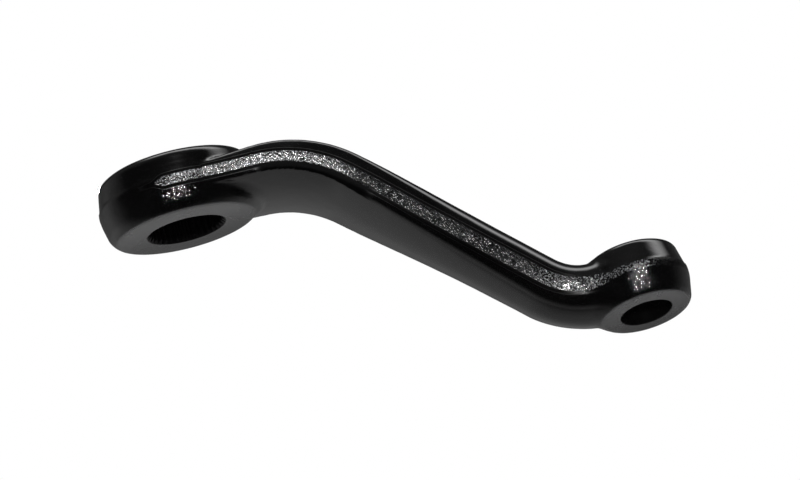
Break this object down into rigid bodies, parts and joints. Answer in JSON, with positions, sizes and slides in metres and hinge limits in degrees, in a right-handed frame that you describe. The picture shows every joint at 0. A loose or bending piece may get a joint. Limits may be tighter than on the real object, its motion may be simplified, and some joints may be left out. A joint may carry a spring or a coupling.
{
  "type": "pitman arm",
  "caption": "Cranked drop-forged steering arm with a serrated shaft eye at one end and a canted eye with a tapered stud hole at the other.",
  "frame": {"origin": "on the axis of the serrated bore, at the height of the serrated eye's flash line", "axes": "+Z along the serrated bore towards the steering box, +X from the serrated eye towards the stud eye, which hangs below"},
  "size_m": [0.2168, 0.0644, 0.1101],
  "materials": {
    "black_paint": "gloss black over a forged skin"
  },
  "bodies": {
    "root": {"pitman_arm": "black_paint"}
  },
  "joints": []
}
